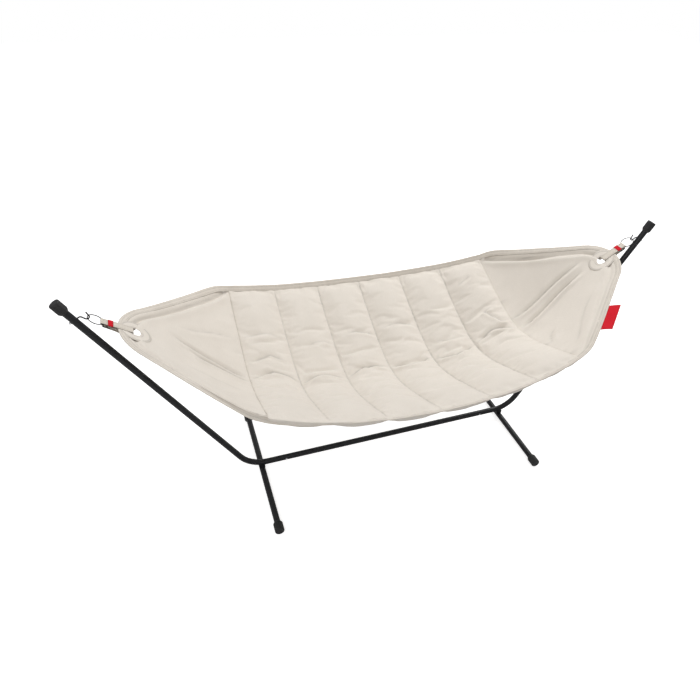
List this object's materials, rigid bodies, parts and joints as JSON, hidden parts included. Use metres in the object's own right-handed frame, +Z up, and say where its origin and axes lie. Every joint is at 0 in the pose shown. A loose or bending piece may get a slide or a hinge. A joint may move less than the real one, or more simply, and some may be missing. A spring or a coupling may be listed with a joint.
{
  "type": "hammock on stand",
  "caption": "Quilted padded hammock with tapered ends, hung by rings and webbing straps from hooks on a free-standing bent tube stand with cross legs and rubber feet",
  "frame": {"origin": "on the floor, at the middle of the stand: below the middle of the beam", "axes": "+X along the beam towards the right-hand end, +Y to the back, +Z up"},
  "size_m": [3.3414, 1.3534, 1.3618],
  "materials": {
    "frame": "near-black powder coat, satin",
    "caps": "moulded black rubber, ribbed",
    "screws": "zinc plated",
    "hooks": "black coated bent rod",
    "rings": "polished chrome plate",
    "webbing": "woven webbing, beige",
    "buckles": "moulded black plastic",
    "labels": "plain woven red label",
    "cloth": "light beige plain-weave outdoor cloth, matt",
    "wadding": "white polyester wadding"
  },
  "bodies": {
    "stand": {"beam_tube": "frame", "left_elbow": "frame", "right_elbow": "frame", "left_lower_arm": "frame", "right_lower_arm": "frame", "left_upper_arm": "frame", "right_upper_arm": "frame", "left_cross_leg": "frame", "right_cross_leg": "frame", "leg_saddles": "frame", "left_arm_cap": "caps", "right_arm_cap": "caps", "left_front_foot_cap": "caps", "left_rear_foot_cap": "caps", "right_front_foot_cap": "caps", "right_rear_foot_cap": "caps", "leg_bolts": "screws", "leg_nuts": "screws", "joint_screws": "screws", "joint_inserts": "screws", "left_hook": "hooks", "right_hook": "hooks", "hook_nuts": "hooks"},
    "hammock": {"left_strap": "webbing", "right_strap": "webbing", "left_buckle": "buckles", "right_buckle": "buckles", "left_strap_tag": "labels", "right_strap_tag": "labels", "side_label": "labels", "bed_cover": "cloth", "left_end_panel": "cloth", "right_end_panel": "cloth", "edge_hem": "cloth", "left_hole_patch": "cloth", "right_hole_patch": "cloth", "wadding": "wadding"},
    "left_ring_body": {"left_ring": "rings"},
    "right_ring_body": {"right_ring": "rings"}
  },
  "joints": [
    {"name": "hammock_swing", "type": "hinge", "parent": "stand", "child": "hammock", "pos_m": [0, 0, 1.25601], "axis": [1, 0, 0], "range_deg": [-30, 30]},
    {"name": "left_ring_turn", "type": "hinge", "parent": "hammock", "child": "left_ring_body", "pos_m": [-1.50118, 0, 1.2364], "axis": [0.5446, 0, 0.8387], "continuous": true},
    {"name": "right_ring_turn", "type": "hinge", "parent": "hammock", "child": "right_ring_body", "pos_m": [1.50118, 0, 1.2364], "axis": [-0.5446, 0, 0.8387], "continuous": true}
  ]
}
